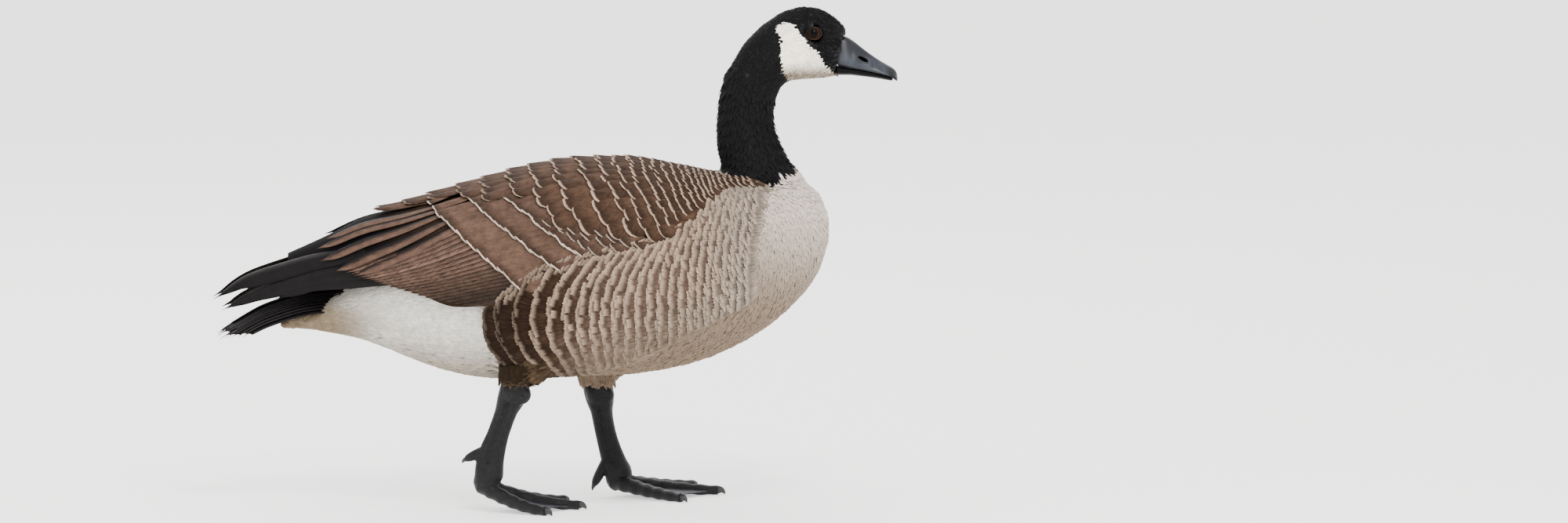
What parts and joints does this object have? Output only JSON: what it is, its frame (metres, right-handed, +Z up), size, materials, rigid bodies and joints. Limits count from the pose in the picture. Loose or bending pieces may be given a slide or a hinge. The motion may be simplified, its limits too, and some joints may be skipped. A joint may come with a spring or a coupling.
{
  "type": "canada goose",
  "caption": "Life-size still goose in mid stride: long black neck, white chin patch, layered folded wings, fanned tail, webbed feet with small claws.",
  "frame": {"origin": "On the floor, at the centre of the box round the whole bird.", "axes": "The bird faces +X, its left side is +Y and +Z is up."},
  "size_m": [0.6808, 0.2774, 0.4965],
  "materials": {
    "body_plumage": "soft barred contour feathers, pale on the breast and brown on the flanks",
    "white_plumage": "soft white feathers of the vent and undertail",
    "black_plumage": "short velvety black feathers",
    "wing_plumage": "brown feathers with pale fringes",
    "flight_feather": "stiff blackish feathers with a faint silky gloss",
    "thigh_plumage": "soft mottled feathers",
    "bill_horn": "smooth dark horn with a low sheen",
    "leg_skin": "scaly blackish skin",
    "claw_horn": "smooth black horn",
    "eye": "wet, very glossy dark brown"
  },
  "bodies": {
    "root": {"torso": "body_plumage", "rump": "white_plumage", "tail": "flight_feather", "neck": "black_plumage", "head": "black_plumage", "bill_upper": "bill_horn", "bill_lower": "bill_horn", "eye_left": "eye", "eye_right": "eye", "wing_left": "wing_plumage", "wing_right": "wing_plumage", "primaries_left": "flight_feather", "primaries_right": "flight_feather", "thigh_left": "thigh_plumage", "thigh_right": "thigh_plumage", "leg_left": "leg_skin", "leg_right": "leg_skin", "foot_left": "leg_skin", "foot_right": "leg_skin", "claw_left_inner": "claw_horn", "claw_left_middle": "claw_horn", "claw_left_outer": "claw_horn", "claw_left_hind": "claw_horn", "claw_right_inner": "claw_horn", "claw_right_middle": "claw_horn", "claw_right_outer": "claw_horn", "claw_right_hind": "claw_horn"}
  },
  "joints": []
}
